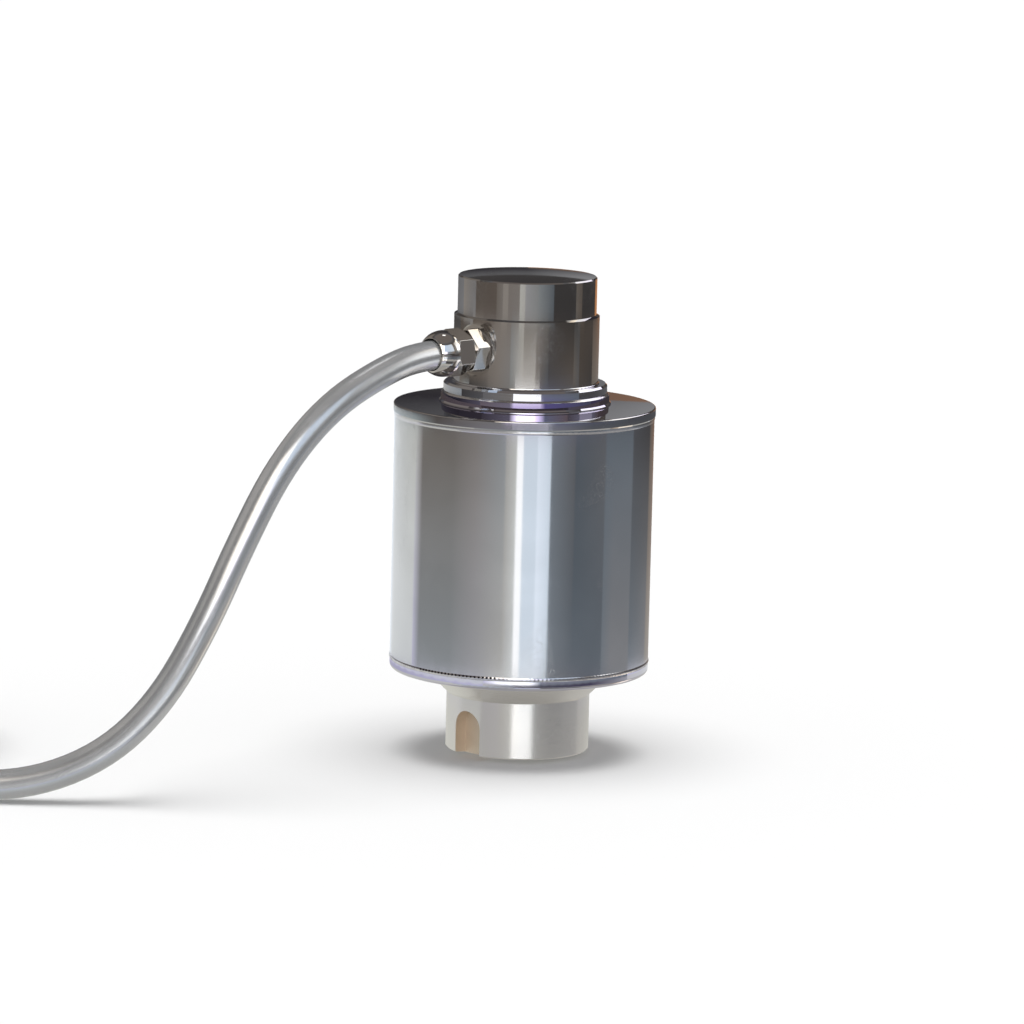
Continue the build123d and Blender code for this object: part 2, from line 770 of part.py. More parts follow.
# Stripped cores that fan out from the end sleeve and lie on the coil
end_core_z = coil_top_z + ferrule_d / 2
end_core_routes = []
for number, colour in enumerate(core_colours):
    place = number - (core_count - 1) / 2
    start_z = sleeve_z + core_d * (1 if number % 2 else -1)
    route = [
        on_coil(coil_mean_r + place * core_d, slip, start_z),
        on_coil(coil_mean_r + place * core_d, bare_core_length / 6, start_z),
        on_coil(coil_mean_r + place * core_fan, bare_core_length / 2, end_core_z),
        on_coil(coil_mean_r + place * core_fan * 1.5, bare_core_length, end_core_z),
    ]
    end_core_routes.append(route)
    with BuildPart() as end_core:
        with BuildLine() as end_line:
            FilletPolyline(*route, radius=2.0)
        with BuildSketch(Plane(end_line.line @ 0, z_dir=end_line.line % 0)):
            Circle(core_d / 2)
        sweep()
    end_core.part.label = f"end_core_{colour}"
    export_step(end_core.part, f"parts/end_core_{colour}.step")

# Crimped ferrules on the cores' ends
with BuildPart() as core_ferrules:
    for route in end_core_routes:
        with BuildSketch(Plane(route[-1], z_dir=route[-1] - route[-2])):
            Circle(ferrule_d / 2)
        extrude(amount=ferrule_length)
core_ferrules.part.label = "core_ferrules"
export_step(core_ferrules.part, "parts/core_ferrules.step")

# The last layer ends where the tail climbs on top, short of a whole turn
ring_turns = coil_columns * coil_layers - 1 + (270 - tail_start) / 360
coiled = ring_turns * 2 * pi * coil_mean_r + radians(tail_sweep) * coil_mean_r
print(f"cable length {(cable_path.length + cable_points[-1][0] - coil_x + coiled) / 1000:.3f} m")
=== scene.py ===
"""Looks of the compression load cell: its view, light, cable and finishes, in metres.

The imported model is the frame. Its shapes stay, and each kind of material gets its finish here. The
cable with its coil, and the lower round seam, are modelled again in more detail.
"""
from math import cos, pi, radians, sin

import bmesh
import bpy
from mathutils import Matrix, Vector


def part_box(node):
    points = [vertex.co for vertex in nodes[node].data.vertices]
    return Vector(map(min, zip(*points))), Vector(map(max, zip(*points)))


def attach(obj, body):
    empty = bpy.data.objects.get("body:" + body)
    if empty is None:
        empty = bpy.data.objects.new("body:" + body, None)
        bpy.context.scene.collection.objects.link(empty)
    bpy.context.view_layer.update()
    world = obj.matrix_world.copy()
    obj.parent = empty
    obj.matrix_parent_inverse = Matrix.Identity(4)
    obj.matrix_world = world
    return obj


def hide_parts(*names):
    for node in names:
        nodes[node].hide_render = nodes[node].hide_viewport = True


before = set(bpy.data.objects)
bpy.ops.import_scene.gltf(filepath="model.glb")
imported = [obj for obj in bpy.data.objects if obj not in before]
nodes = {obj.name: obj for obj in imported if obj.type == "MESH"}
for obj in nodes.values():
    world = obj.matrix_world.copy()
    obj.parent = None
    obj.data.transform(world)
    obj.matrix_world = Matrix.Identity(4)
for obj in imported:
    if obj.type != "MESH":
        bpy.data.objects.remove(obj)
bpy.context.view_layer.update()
scene = bpy.context.scene

# View
camera_place = Vector((0.0, -1.76641, 0.35713))
camera_target = Vector((-0.0031774, 0.0, 0.0749758))
camera_roll = 0.0238  # radians, anticlockwise tilt of the object in the picture
camera_lens = 203.4  # mm, on a sensor 36 mm wide

# Sizes that the frame gives
sleeve_low, sleeve_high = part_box("housing_sleeve")
sleeve_radius = sleeve_high.x
lower_seam_z = sleeve_low.z

# Side on which the gland, the cable and the foot's slot are
cable_side = radians(225)
outwards = Vector((cos(cable_side), sin(cable_side), 0))
sideways = Vector((-sin(cable_side), cos(cable_side), 0))


def aimed_camera():
    """Camera at the photograph's view."""
    data = bpy.data.cameras.new("view")
    data.sensor_width = 36.0
    data.lens = camera_lens
    data.clip_start = 0.05
    data.clip_end = 60.0
    camera = bpy.data.objects.new("view", data)
    scene.collection.objects.link(camera)
    towards = (camera_target - camera_place).normalized()
    right = towards.cross(Vector((0, 0, 1))).normalized()
    up = right.cross(towards)
    rolled_right = cos(camera_roll) * right + sin(camera_roll) * up
    rolled_up = cos(camera_roll) * up - sin(camera_roll) * right
    camera.matrix_world = Matrix.Translation(camera_place) @ Matrix(
        (rolled_right, rolled_up, -towards)
    ).transposed().to_4x4()
    scene.camera = camera


aimed_camera()


class Graph:
    """Shader nodes of one material or world, made and wired in one call each."""

    def __init__(self, tree):
        self.tree = tree
        tree.nodes.clear()

    def add(self, kind, inputs=None, **settings):
        made = self.tree.nodes.new(kind)
        for name, value in settings.items():
            setattr(made, name, value)
        for name, value in (inputs or {}).items():
            if isinstance(value, bpy.types.NodeSocket):
                self.tree.links.new(value, made.inputs[name])
            else:
                made.inputs[name].default_value = value
        return made

    def math(self, operation, first, second=0.0):
        return self.add("ShaderNodeMath", {0: first, 1: second}, operation=operation).outputs[0]

    def vector(self, operation, first, second):
        return self.add("ShaderNodeVectorMath", {0: first, 1: second}, operation=operation)

    def product(self, value, *factors):
        for factor in factors:
            value = self.math("MULTIPLY", value, factor)
        return value

    def raised(self, value, mask, amount):
        """Value plus this amount of the mask."""
        return self.math("ADD", value, self.math("MULTIPLY", mask, amount))

    def blend(self, factor, first, second):
        """Colour that goes from first to second as factor goes from 0 to 1."""
        made = self.add("ShaderNodeMix", {0: factor, 6: first, 7: second}, data_type="RGBA")
        return made.outputs[2]

    def fade(self, value, low, high, at_low=0.0, at_high=1.0):
        """Value mapped smoothly from the range low to high."""
        inputs = {"Value": value, 1: low, 2: high, 3: at_low, 4: at_high}
        return self.add("ShaderNodeMapRange", inputs, interpolation_type="SMOOTHSTEP").outputs[0]

    def spot(self):
        """Point on the object, in metres."""
        return self.add("ShaderNodeTexCoord").outputs["Object"]

    def place(self, scale=(1, 1, 1)):
        """Point on the object, stretched by scale."""
        inputs = {"Vector": self.spot(), "Scale": scale}
        return self.add("ShaderNodeMapping", inputs).outputs[0]

    def noise(self, scale, stretch=(1, 1, 1), detail=2.0, distortion=0.0):
        inputs = {
            "Vector": self.place(stretch),
            "Scale": scale,
            "Detail": detail,
            "Distortion": distortion,
        }
        return self.add("ShaderNodeTexNoise", inputs).outputs[0]

    def height(self):
        """Height above the floor, in millimetres."""
        axes = self.add("ShaderNodeSeparateXYZ", {0: self.spot()})
        return self.math("MULTIPLY", axes.outputs[2], 1000.0)

    def band(self, value, low, high, soft):
        """1 between low and high, falling to 0 over soft on each side."""
        rise = self.fade(value, low - soft, low)
        fall = self.fade(value, high, high + soft, 1.0, 0.0)
        return self.product(rise, fall)


def rgba(red, green, blue):
    return (red, green, blue, 1.0)


def finished(graph, colour, roughness, metallic, bump):
    """Ends a material in one Principled shader."""
    inputs = {"Base Color": colour, "Roughness": roughness, "Metallic": metallic, "Normal": bump}
    surface = graph.add("ShaderNodeBsdfPrincipled", inputs)
    graph.add("ShaderNodeOutputMaterial", {"Surface": surface.outputs[0]})


def relief(graph, value, depth, under=None):
    """Bump of this depth in metres, on top of another bump."""
    inputs = {"Height": value, "Strength": 1.0, "Distance": depth}
    if under is not None:
        inputs["Normal"] = under
    return graph.add("ShaderNodeBump", inputs).outputs[0]


def new_material(name):
    material = bpy.data.materials.new(name)
    material.use_nodes = True
    return material, Graph(material.node_tree)


def scratches(graph, scale, amount):
    """Sparse thin scratches: lines of a bent cell pattern, where a coarse noise lets them show."""
    bend = graph.noise(60.0, detail=3.0)
    bent = graph.vector("ADD", graph.place((1, 1, 0.35)), bend).outputs[0]
    inputs = {"Vector": bent, "Scale": scale}
    cells = graph.add("ShaderNodeTexVoronoi", inputs, feature="DISTANCE_TO_EDGE").outputs[0]
    line = graph.fade(cells, 0.0, 0.012, 1.0, 0.0)
    patches = graph.noise(38.0, detail=1.0)
    return graph.product(line, graph.fade(patches, 0.66 - 0.1 * amount, 0.70 - 0.1 * amount))


def polished(name, colour, roughness, turned=1.0, smudges=1.0, scratched=0.5, zones=(), edge=0):
    """Turned and polished metal, its edges softened by edge metres.

    Zones are (low, high, soft, colour, roughness) by height in mm.
    """
    material, graph = new_material(name)
    cloud = graph.noise(26.0, detail=3.0, distortion=0.4)
    rings = graph.noise(1.0, stretch=(40, 40, 5200), detail=3.0)
    tone = graph.blend(
        graph.fade(cloud, 0.35, 0.7),
        rgba(*[0.94 * part for part in colour]),
        rgba(*[min(1.0, 1.05 * part) for part in colour]),
    )
    gloss = graph.fade(cloud, 0.3, 0.75, roughness, roughness + 0.05 * smudges)
    gloss = graph.math("ADD", gloss, graph.fade(rings, 0.3, 0.7, 0.0, 0.03 * turned))
    height = graph.height() if zones else None
    for low, high, soft, zone_colour, zone_roughness in zones:
        inside = graph.band(height, low, high, soft)
        tone = graph.blend(inside, tone, rgba(*zone_colour))
        gloss = graph.add(
            "ShaderNodeMix", {0: inside, 2: gloss, 3: zone_roughness}, data_type="FLOAT"
        ).outputs[0]
    marks = scratches(graph, 90.0, scratched)
    gloss = graph.raised(gloss, marks, 0.25)
    soft = None
    if edge:
        soft = graph.add("ShaderNodeBevel", {"Radius": edge}, samples=6).outputs[0]
    bump = relief(graph, rings, 2.0e-7 * turned, soft)
    bump = relief(graph, cloud, 1.2e-5 * smudges, bump)
    bump = relief(graph, marks, -6.0e-6, bump)
    finished(graph, tone, gloss, 1.0, bump)
    return material


def moulded(name, colour, roughness):
    """Plastic, rubber or enamel with a fine grain and slight unevenness of colour."""
    mottle = 0.06
    material, graph = new_material(name)
    cloud = graph.noise(160.0, detail=3.0)
    dark = rgba(*[(1 - mottle) * part for part in colour])
    light = rgba(*[min(1.0, (1 + mottle) * part) for part in colour])
    tone = graph.blend(graph.fade(cloud, 0.3, 0.7), dark, light)
    gloss = graph.fade(cloud, 0.3, 0.7, roughness - 0.04, roughness + 0.06)
    finished(graph, tone, gloss, 0.0, relief(graph, graph.noise(900.0, detail=2.0), 2.0e-5))
    return material


# Cable: route from the gland to the coil, then its turns, in metres
cable_diameter = 0.009
route = [
    (-0.021567, -0.021567, 0.1272),
    (-0.031113, -0.031113, 0.1272),
    (-0.041366, -0.041366, 0.1245),
    (-0.057983, -0.057983, 0.1151),
    (-0.072, -0.0705, 0.0985),
    (-0.083, -0.079, 0.076),
    (-0.093, -0.086, 0.0525),
    (-0.105, -0.091, 0.0305),
    (-0.121, -0.094, 0.0145),
    (-0.143, -0.0955, 0.0054),
    (-0.167, -0.095, 0.0046),
    (-0.190, -0.095, 0.0061),
]
coil_centre = Vector((-0.242, -0.02325))
coil_mean_radius = 0.0626
coil_pitch = 0.00915
coil_columns = 3
coil_layers = 4
coil_first_z = route[-1][2]
coil_start_angle = radians(270)
points_per_turn = 36
tail_end = 11 + 330 / 360  # in turns from where the cable meets the coil
step_length = 0.12  # of a turn, for each move to the next column or layer
step_lead = 0.035  # each move starts this much of a turn before the one below it
last_move = 0.72  # of the last full turn, where the cable moves inwards once more


def smooth_step(value, start):
    """0 before start, 1 a step's length after it."""
    share = min(1.0, max(0.0, (value - start) / step_length))
    return share * share * (3 - 2 * share)


def coil_point(turn):
    """Point of the coil this many turns in. Odd layers wind outwards and even ones inwards."""
    column = coil_columns - 1.0
    layer = 0.0
    for level in range(coil_layers):
        across = 1 - step_length - 2 * level * step_lead
        direction = -1 if level % 2 == 0 else 1
        for wound in range(coil_columns - 1):
            column += direction * smooth_step(turn, level * coil_columns + wound + across)
        climb_turn = (level + 1) * coil_columns - 1 + across - step_lead
        rise = cable_diameter / coil_pitch if level == coil_layers - 1 else 1.0
        layer += rise * smooth_step(turn, climb_turn)
    column -= smooth_step(turn, coil_columns * coil_layers - 1 + last_move)
    angle = coil_start_angle - 2 * pi * turn
    radius = coil_mean_radius + coil_pitch * (column - (coil_columns - 1) / 2)
    x = coil_centre.x + radius * cos(angle)
    y = coil_centre.y + radius * sin(angle)
    return Vector((x, y, coil_first_z + layer * coil_pitch))


def cable_points():
    """Points that steer the cable's spline.

    The spline runs inside points on a circle, so the coil's points lie that much further out.
    """
    points = [Vector(point) for point in route]
    count = round(tail_end * points_per_turn)
    on_circle = 1 / (0.75 + 0.25 * cos(2 * pi / points_per_turn))
    centre = Vector((*coil_centre, 0))
    for index in range(count + 1):
        point = coil_point(index * tail_end / count)
        flat = Vector((point.x, point.y, 0)) - centre
        points.append(centre + flat * on_circle + Vector((0, 0, point.z)))
    return points


def tube(name, points, diameter, material):
    """Round tube along a smooth spline that these points steer."""
    curve = bpy.data.curves.new(name, "CURVE")
    curve.dimensions = "3D"
    curve.resolution_u = 6
    curve.bevel_depth = diameter / 2
    curve.bevel_resolution = 10
    curve.use_fill_caps = True
    spline = curve.splines.new("NURBS")
    spline.points.add(len(points) - 1)
    for target, point in zip(spline.points, points):
        target.co = (*point, 1.0)
    spline.order_u = 3
    spline.use_endpoint_u = True
    piece = bpy.data.objects.new(name, curve)
    scene.collection.objects.link(piece)
    curve.materials.append(material)
    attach(piece, "root")
    return piece


def sheath():
    """Satin silver sheath, slightly uneven, with a very fine grain."""
    material, graph = new_material("silver_sheath")
    cloud = graph.noise(55.0, detail=3.0)
    tone = graph.blend(
        graph.fade(cloud, 0.3, 0.7), rgba(0.66, 0.675, 0.69), rgba(0.72, 0.735, 0.75)
    )
    gloss = graph.fade(cloud, 0.3, 0.7, 0.22, 0.26)
    fine = relief(graph, graph.noise(1400.0, detail=2.0), 5.0e-7)
    bump = relief(graph, cloud, 1.2e-5, fine)
    finished(graph, tone, gloss, 0.75, bump)
    return material


cable = tube("cable_run", cable_points(), cable_diameter, sheath())
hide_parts("cable", "cable_coil")
cable.visible_glossy = False
cable_pieces = [
    nodes[name]
    for name in sorted(nodes)
    if name.startswith(("cable_tie", "end_sleeve", "end_core", "core_ferrules"))
]
for piece in cable_pieces:
    piece.visible_glossy = False


# Soft borders between the column's finishes: heights in millimetres
foot_top = (25.5, 27.0)
slot_top = (15.1, 15.3)
collar_zone = (112.0, 116.3)
neck_zone = (116.2, 136.7)

# More of them: distances from the column's axis in metres
slot_back = (0.0160, 0.0166)
slot_side = (0.00535, 0.0054)
foot_skin = (0.0219, 0.0221)

# Lower round seam: ripples all round, and the stretches with oxide, as angles in radians
seam_ripples = 200
oxide_stretches = ((-2.42, -1.75), (0.5, 1.4))


def column_steel():
    """Polished head, neck and collar, satin foot, and a raw tan face inside the slot."""
    material, graph = new_material("column_finish")
    cloud = graph.noise(30.0, detail=3.0, distortion=0.3)
    rings = graph.noise(1.0, stretch=(40, 40, 4200), detail=3.0)
    height = graph.height()
    spot = graph.spot()
    reach = graph.vector("DOT_PRODUCT", spot, tuple(outwards)).outputs["Value"]
    aside = graph.vector("DOT_PRODUCT", spot, tuple(sideways)).outputs["Value"]
    head = graph.blend(
        graph.fade(cloud, 0.35, 0.7), rgba(0.62, 0.615, 0.61), rgba(0.68, 0.675, 0.67)
    )
    neck = graph.blend(
        graph.fade(cloud, 0.35, 0.7), rgba(0.66, 0.645, 0.62), rgba(0.73, 0.715, 0.69)
    )
    tone = graph.blend(graph.band(height, *neck_zone, 0.4), head, neck)
    foot = graph.fade(height, *foot_top, 1.0, 0.0)
    tone = graph.blend(foot, tone, rgba(0.85, 0.84, 0.82))
    gloss = graph.fade(cloud, 0.3, 0.75, 0.05, 0.08)
    gloss = graph.math("ADD", gloss, graph.fade(rings, 0.3, 0.7, 0.0, 0.02))
    gloss = graph.raised(gloss, foot, 0.13)
    squares = [graph.math("MULTIPLY", part, part) for part in (reach, aside)]
    distance = graph.math("SQRT", graph.math("ADD", *squares))
    in_slot = graph.product(
        graph.fade(reach, *slot_back),
        foot,
        graph.fade(graph.math("ABSOLUTE", aside), *slot_side, 1.0, 0.0),
        graph.fade(distance, *foot_skin, 1.0, 0.0),
        graph.fade(height, *slot_top, 1.0, 0.0),
    )
    tone = graph.blend(in_slot, tone, rgba(0.88, 0.77, 0.64))
    gloss = graph.raised(gloss, in_slot, 0.30)
    collar = graph.band(height, *collar_zone, 0.2)
    tone = graph.blend(collar, tone, rgba(0.72, 0.73, 0.77))
    gloss = graph.raised(gloss, collar, -0.04)
    marks = scratches(graph, 120.0, 0.4)
    gloss = graph.raised(gloss, marks, 0.2)
    bump = relief(graph, rings, 3.0e-7)
    bump = relief(graph, cloud, 8.0e-6, bump)
    bump = relief(graph, marks, -5.0e-6, bump)
    finished(graph, tone, gloss, 1.0, bump)
    return material


def weld_metal():
    """Uneven weld with dark oxide in patches."""
    material, graph = new_material("weld_finish")
    cloud = graph.noise(300.0, detail=3.0)
    oxide = graph.fade(graph.noise(120.0, detail=2.0), 0.45, 0.65)
    tone = graph.blend(oxide, rgba(0.72, 0.71, 0.72), rgba(0.34, 0.31, 0.33))
    bump = relief(graph, cloud, 3.0e-5)
    finished(graph, tone, graph.fade(cloud, 0.3, 0.7, 0.18, 0.36), 1.0, bump)
    return material


def ticked_weld():
    """Bright rippled weld, with black oxide left between the ripples along some stretches."""
    material, graph = new_material("ticked_weld_finish")
    axes = graph.add("ShaderNodeSeparateXYZ", {0: graph.spot()})
    turn = graph.math("ARCTAN2", axes.outputs[1], axes.outputs[0])
    wave = graph.math("SINE", graph.math("MULTIPLY", turn, float(seam_ripples)))
    rough = graph.noise(900.0, detail=2.0)
    tick = graph.fade(graph.raised(wave, rough, 1.2), 0.6, 0.9)
    stretch = graph.math("ADD", *[graph.band(turn, *ends, 0.02) for ends in oxide_stretches])
    seam_height = 1000 * lower_seam_z
    upper = graph.fade(graph.height(), seam_height - 0.12, seam_height + 0.02)
    tick = graph.product(tick, stretch, upper)
    cloud = graph.noise(300.0, detail=3.0)
    tone = graph.blend(graph.fade(cloud, 0.4, 0.7), rgba(0.80, 0.80, 0.83), rgba(0.62, 0.61, 0.66))
    tone = graph.blend(tick, tone, rgba(0.015, 0.013, 0.013))
    gloss = graph.fade(cloud, 0.3, 0.7, 0.10, 0.22)
    gloss = graph.raised(gloss, tick, 0.5)
    finished(graph, tone, gloss, 1.0, relief(graph, cloud, 1.0e-5))
    return material


def circuit_board():
    """Solder mask over ring-shaped copper tracks."""
    material, graph = new_material("board_finish")
    inputs = {"Vector": graph.spot(), "Scale": 95.0, "Distortion": 0.0}
    rings = graph.add("ShaderNodeTexWave", inputs, wave_type="RINGS", rings_direction="Z")
    track = graph.fade(rings.outputs[1], 0.55, 0.62)
    cloud = graph.noise(220.0)
    mask = graph.blend(cloud, rgba(0.012, 0.10, 0.045), rgba(0.02, 0.14, 0.06))
    tone = graph.blend(track, mask, rgba(0.05, 0.24, 0.10))
    gloss = graph.fade(cloud, 0.3, 0.7, 0.28, 0.4)
    finished(graph, tone, gloss, 0.0, relief(graph, track, 3.0e-5))
    return material


def gauge_film():
    """Amber film with a slight sheen of the metal in it."""
    material, graph = new_material("gauge_finish")
    cloud = graph.noise(700.0)
    tone = graph.blend(cloud, rgba(0.55, 0.24, 0.04), rgba(0.72, 0.38, 0.10))
    gloss = graph.fade(cloud, 0.3, 0.7, 0.22, 0.34)
    finished(graph, tone, gloss, 0.35, relief(graph, cloud, 5.0e-6))
    return material


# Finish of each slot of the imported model
finishes = {
    "column_steel": column_steel(),
    "sleeve_steel": polished("sleeve_finish", (0.74, 0.75, 0.77), 0.055, turned=0.5),
    "cover_steel": polished(
        "cover_finish",
        (0.62, 0.62, 0.635),
        0.03,
        turned=0.1,
        smudges=0.3,
        zones=[
            (109.6, 110.4, 0.1, (0.68, 0.67, 0.74), 0.03),
            (110.4, 112.6, 0.1, (0.52, 0.47, 0.64), 0.03),
        ],
    ),
    "lower_cover_steel": polished(
        "lower_cover_finish", (0.72, 0.72, 0.80), 0.02, turned=0, smudges=0.05, scratched=0
    ),
    "weld_metal": weld_metal(),
    "circuit_board": circuit_board(),
    "spacer_brass": polished("spacer_finish", (0.80, 0.62, 0.30), 0.24),
    "screw_steel": polished("screw_finish", (0.62, 0.62, 0.60), 0.26),
    "resistor_body": moulded("resistor_finish", (0.10, 0.22, 0.42), 0.35),
    "gauge_film": gauge_film(),
    "terminal_pad": moulded("terminal_finish", (0.50, 0.27, 0.12), 0.38),
    "bridge_wire": moulded("bridge_wire_finish", (0.55, 0.10, 0.05), 0.30),
    "gland_nickel": polished(
        "gland_finish", (0.80, 0.775, 0.745), 0.06, turned=0.3, smudges=0.5, edge=0.00025
    ),
    "washer_fibre": moulded("washer_finish", (0.15, 0.13, 0.115), 0.4),
    "seal_rubber": moulded("seal_finish", (0.03, 0.03, 0.03), 0.5),
    "cable_sheath": cable.data.materials[0],
    "core_red": moulded("core_red_finish", (0.55, 0.03, 0.03), 0.35),
    "core_black": moulded("core_black_finish", (0.02, 0.02, 0.02), 0.35),
    "core_green": moulded("core_green_finish", (0.03, 0.28, 0.08), 0.35),
    "core_white": moulded("core_white_finish", (0.80, 0.80, 0.78), 0.35),
    "tie_nylon": moulded("tie_finish", (0.025, 0.025, 0.027), 0.42),
    "heat_shrink": moulded("heat_shrink_finish", (0.02, 0.02, 0.022), 0.48),
    "tinned_copper": polished("tinned_finish", (0.78, 0.76, 0.72), 0.25),
}
for piece in nodes.values():
    piece.data.materials[0] = finishes[piece.data.materials[0].name]

# The two upper welds are dressed smooth
smooth_weld = polished("smooth_weld_finish", (0.72, 0.72, 0.74), 0.12, smudges=0.5)
for name in ("upper_seam_weld", "collar_weld"):
    nodes[name].data.materials[0] = smooth_weld


# Lower round seam, with the ripples of the weld pool
bead_half_width = 0.0006
bead_crown = 0.0002
bead_sink = 0.00004  # of the bead's edges into the housing
bead_columns = 9
steps_per_ripple = 6
ripple_lean = 0.35  # of a ripple, by which its ends run ahead of its middle
ripple_share = 0.45  # of the crown that a ripple adds


def rippled_seam(name, node, material, radius, z):
    """Bead round the housing, whose ripples lean in the direction of welding."""
    around = seam_ripples * steps_per_ripple
    mesh = bpy.data.meshes.new(name)
    form = bmesh.new()
    rows = []
    for step in range(around):
        angle = 2 * pi * step / around
        row = []
        for place in range(bead_columns):
            share = 2 * place / (bead_columns - 1) - 1
            wave = (seam_ripples * angle / (2 * pi) + ripple_lean * share * share) % 1.0
            swell = bead_crown * (1 - share * share) * (1 - ripple_share + ripple_share * wave)
            reach = radius + swell - bead_sink * abs(share)
            height = z + share * bead_half_width
            row.append(form.verts.new((reach * cos(angle), reach * sin(angle), height)))
        rows.append(row)
    for row, following in zip(rows, rows[1:] + rows[:1]):
        for place in range(bead_columns - 1):
            form.faces.new((row[place], following[place], following[place + 1], row[place + 1]))
    for face in form.faces:
        face.smooth = True
    form.to_mesh(mesh)
    form.free()
    mesh.materials.append(material)
    piece = bpy.data.objects.new(name, mesh)
    scene.collection.objects.link(piece)
    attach(piece, "root")
    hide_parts(node)


rippled_seam("lower_seam", "lower_seam_weld", ticked_weld(), sleeve_radius, lower_seam_z)


# Studio
def srgb(code):
    """Linear colour of a hexadecimal display colour."""
    parts = [int(code[index:index + 2], 16) / 255 for index in (0, 2, 4)]
    return [part / 12.92 if part <= 0.04045 else ((part + 0.055) / 1.055) ** 2.4 for part in parts]


# Plain tones of the room that the metal mirrors: neutral, warm, brown, cool and violet
room = {
    "graphite": "464648", "lead": "5a5a5c", "nickel": "7c7c7e", "tin": "98989a",
    "silver": "c8caca", "white": "ffffff",
    "umber": "4a4440", "brown": "5a524c", "taupe": "6a645e", "clay": "7a7470",
    "stone": "8c8680", "fog": "9c9a96", "ash": "aaa8a4", "chalk": "b8b8b2",
    "rust": "80604c", "copper": "b07c54", "tan": "9a8070", "sand": "c8b8a4", "cream": "fff2e0",
    "black": "202024", "soot": "2c2a2e", "charcoal": "3a3838", "steel": "4c5258",
    "slate": "5c636a", "pewter": "70767c", "zinc": "868a8c", "sea": "98a6a6", "sky": "b8cae2",
    "frost": "ccd6e0", "ice": "dee6f0",
    "plum": "403a4c", "violet": "605c84", "mauve": "84808c", "heather": "a09eb0",
    "lilac": "b8b6ca", "orchid": "c4b0e4", "petal": "f4ecfc",
}

card_reach = 0.5  # distance of the cards from the column's axis
card_columns = 12  # faces of a card, side by side
card_sag = 0.0042  # drop of a card behind the housing, which keeps a wall's picture level
slim_sag = 0.0021  # the same above the rim, where the object is slimmer
slim_height = 0.045  # from here up the cards have the lesser drop
usual_gain = 1.35  # brightness of a card against its tone


def card_glow():
    """Light of the cards, taken from their painted tone."""
    material, graph = new_material("card_glow")
    tone = graph.add("ShaderNodeVertexColor", layer_name="tone").outputs[0]
    glow = graph.add("ShaderNodeEmission", {"Color": tone, "Strength": 1.0})
    graph.add("ShaderNodeOutputMaterial", {"Surface": glow.outputs[0]})
    return material


glow = card_glow()


def mirrored_only(name, mesh):
    """Piece that nothing but the metal sees."""
    mesh.materials.append(glow)
    piece = bpy.data.objects.new(name, mesh)
    scene.collection.objects.link(piece)
    piece.visible_camera = False
    piece.visible_diffuse = False
    piece.visible_shadow = False
    piece.visible_transmission = False


def wall(start, end, low, high=None, gain=usual_gain):
    """Stretch of a ring of cards. Angles run from the camera to the right, in degrees.

    low and high are the tones along its lower and upper edge: one, or two from left to right.
    """
    tones = [
        [Vector(srgb(room[tone])) * gain for tone in edge.split()] for edge in (low, high or low)
    ]
    return radians(start), radians(end), tones


def card(name, heights, start, end, tones):
    """Curved card of one stretch."""
    mesh = bpy.data.meshes.new(name)
    form = bmesh.new()
    paint = form.loops.layers.float_color.new("tone")
    rows = []
    for height in heights:
        sag = slim_sag if height > slim_height else card_sag
        row = []
        for step in range(card_columns + 1):
            turn = start + (end - start) * step / card_columns
            drop = sag * (1 - cos(turn / 2))
            row.append(form.verts.new((
                card_reach * sin(turn), -card_reach * cos(turn), height - drop
            )))
        rows.append(row)
    for step in range(card_columns):
        corners = [(0, step), (0, step + 1), (1, step + 1), (1, step)]
        face = form.faces.new([rows[level][place] for level, place in corners])
        for loop, (level, place) in zip(face.loops, corners):
            left, right = tones[level][0], tones[level][-1]
            loop[paint] = (*left.lerp(right, place / card_columns), 1.0)
    form.to_mesh(mesh)
    form.free()
    mirrored_only(name, mesh)


def card_ring(name, heights, walls):
    """Cards side by side, all round the object."""
    for number, stretch in enumerate(walls):
        card(f"{name}_{number}", heights, *stretch)


def flat_card(name, place, size, tone, gain):
    """Level card of one tone, seen from above and below."""
    mesh = bpy.data.meshes.new(name)
    x, y, z = place
    across, along = size[0] / 2, size[1] / 2
    corners = [
        (x - across, y - along, z),
        (x + across, y - along, z),
        (x + across, y + along, z),
        (x - across, y + along, z),
    ]
    mesh.from_pydata(corners, [], [(0, 1, 2, 3)])
    paint = mesh.color_attributes.new("tone", "FLOAT_COLOR", "CORNER")
    for corner in paint.data:
        corner.color = (*(gain * part for part in srgb(room[tone])), 1.0)
    mirrored_only(name, mesh)


# What the cone over the foot and the undersides mirror, and a skylight for the bevels
flat_card("bottom_card", (0, 0, -0.75), (1.0, 1.0), "ash", gain=1.0)
flat_card("back_skylight", (0.03, 0.34, 1.1), (0.16, 0.12), "white", gain=2.0)

# What the gland's lower faces mirror: a light table with a cream side
card_ring("low_floor_card", (-0.75, -0.34), [
    wall(-180, -60, "ash", "chalk"),
    wall(-60, 60, "zinc", "ash"),
    wall(60, 180, "fog", "ash"),
])
card_ring("floor_card", (-0.34, -0.16), [
    wall(-180, -60, "chalk"),
    wall(-60, 20, "sea", "lilac"),
    wall(20, 60, "graphite"),
    wall(60, 98, "clay stone"),
    wall(98, 108, "clay sand", "tan sand"),
    wall(108, 125, "cream"),
    wall(125, 180, "ash"),
])

# A pale table, up to where the foot's picture begins
card_ring("table_card", (-0.16, -0.102), [
    wall(-180, -60, "chalk"),
    wall(-60, 110, "fog nickel"),
    wall(110, 180, "ash chalk", "fog ash"),
])

